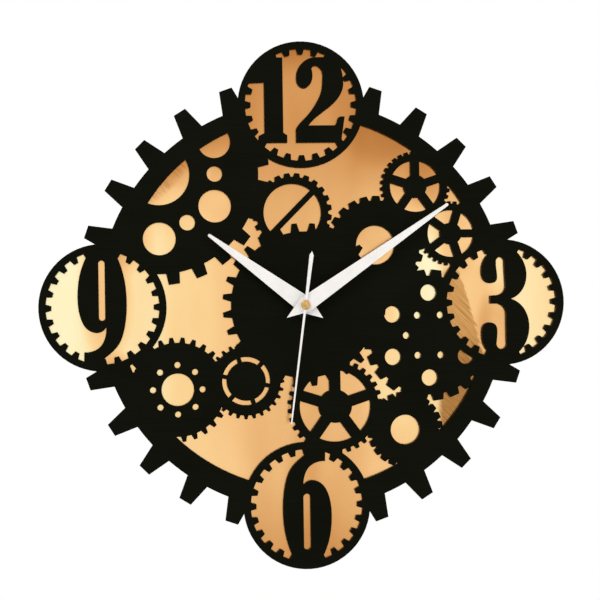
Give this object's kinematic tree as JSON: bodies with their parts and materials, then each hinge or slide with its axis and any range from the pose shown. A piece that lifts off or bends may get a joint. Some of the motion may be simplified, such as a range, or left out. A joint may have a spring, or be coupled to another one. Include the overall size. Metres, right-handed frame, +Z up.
{
  "type": "wall clock",
  "caption": "Round wall clock with a black fretwork panel of gear shapes over a gold sheet, numerals in toothed windows, white hands and a battery movement with a setting knob.",
  "frame": {"origin": "on the hands' axis, in the wall plane that the movement's rear face touches", "axes": "+Z up the dial to twelve, +X to three, -Y from the wall to the front"},
  "size_m": [0.3, 0.0341, 0.3],
  "materials": {
    "black_wood": "black painted sheet with browned cut edges",
    "gold_sheet": "gold mirror sheet with fine brushed streaks",
    "white_paint": "satin white paint",
    "brass": "turned, satin",
    "black_metal": "satin black",
    "zinc_steel": "zinc plated",
    "rubber": "matte",
    "black_plastic": "fine spark texture",
    "knob_plastic": "satin",
    "wheel_plastic": "natural white",
    "magnet": "dull grey",
    "stator_iron": "rolled sheet",
    "copper": "enamelled copper wire",
    "board": "green coated laminate",
    "chip": "black resin",
    "crystal_can": "drawn can",
    "battery_can": "printed sleeve in plain bands",
    "contact_steel": "nickel plated spring steel"
  },
  "bodies": {
    "dial": {"front_panel": "black_wood", "gold_backing": "gold_sheet", "hanger_bracket": "zinc_steel", "rubber_gasket": "rubber", "panel_washer": "black_metal", "hex_nut": "black_metal", "threaded_bush": "brass", "movement_case": "black_plastic", "movement_cover": "black_plastic", "gear_plate": "black_plastic", "stator": "stator_iron", "coil_bobbin": "wheel_plastic", "coil_winding": "copper", "circuit_board": "board", "control_chip": "chip", "quartz_crystal": "crystal_can", "positive_contact": "contact_steel", "negative_contact": "contact_steel"},
    "hour": {"hour_wheel": "wheel_plastic", "hour_hand": "white_paint"},
    "minute": {"minute_wheel": "wheel_plastic", "minute_hand": "white_paint"},
    "second": {"second_wheel": "wheel_plastic", "second_hand": "white_paint", "second_hand_hub": "brass"},
    "third": {"third_wheel": "wheel_plastic"},
    "intermediate": {"intermediate_wheel": "wheel_plastic"},
    "rotor": {"rotor_pinion": "wheel_plastic", "rotor_magnet": "magnet"},
    "motion": {"motion_wheel": "wheel_plastic"},
    "knob": {"setting_knob": "knob_plastic"},
    "battery": {"battery": "battery_can"}
  },
  "joints": [
    {"name": "minute_spin", "type": "hinge", "parent": "dial", "child": "minute", "pos_m": [0, 0, 0], "axis": [0, 1, 0], "continuous": true},
    {"name": "hour_spin", "type": "hinge", "parent": "dial", "child": "hour", "pos_m": [0, 0, 0], "axis": [0, 1, 0], "continuous": true},
    {"name": "second_spin", "type": "hinge", "parent": "dial", "child": "second", "pos_m": [0, 0, 0], "axis": [0, 1, 0], "continuous": true},
    {"name": "third_spin", "type": "hinge", "parent": "dial", "child": "third", "pos_m": [0.00827, 0, 0.00694], "axis": [0, 1, 0], "continuous": true},
    {"name": "intermediate_spin", "type": "hinge", "parent": "dial", "child": "intermediate", "pos_m": [-0.00369, 0, 0.01015], "axis": [0, 1, 0], "continuous": true},
    {"name": "rotor_spin", "type": "hinge", "parent": "dial", "child": "rotor", "pos_m": [-0.00491, 0, 0.01704], "axis": [0, 1, 0], "continuous": true},
    {"name": "motion_spin", "type": "hinge", "parent": "dial", "child": "motion", "pos_m": [-0.00886, 0, -0.00156], "axis": [0, 1, 0], "continuous": true},
    {"name": "knob_spin", "type": "hinge", "parent": "dial", "child": "knob", "pos_m": [-0.01756, 0, 0.00077], "axis": [0, 1, 0], "continuous": true},
    {"name": "battery_slide", "type": "slide", "parent": "dial", "child": "battery", "axis": [0, 1, 0], "range_m": [0, 0.02]}
  ],
  "couplings": [
    {"joint": "hour_spin", "follows": "minute_spin", "ratio": 0.083333},
    {"joint": "second_spin", "follows": "minute_spin", "ratio": 60},
    {"joint": "third_spin", "follows": "minute_spin", "ratio": -8},
    {"joint": "intermediate_spin", "follows": "minute_spin", "ratio": -300},
    {"joint": "rotor_spin", "follows": "minute_spin", "ratio": 1800},
    {"joint": "motion_spin", "follows": "minute_spin", "ratio": -0.33333},
    {"joint": "knob_spin", "follows": "minute_spin", "ratio": 1}
  ]
}
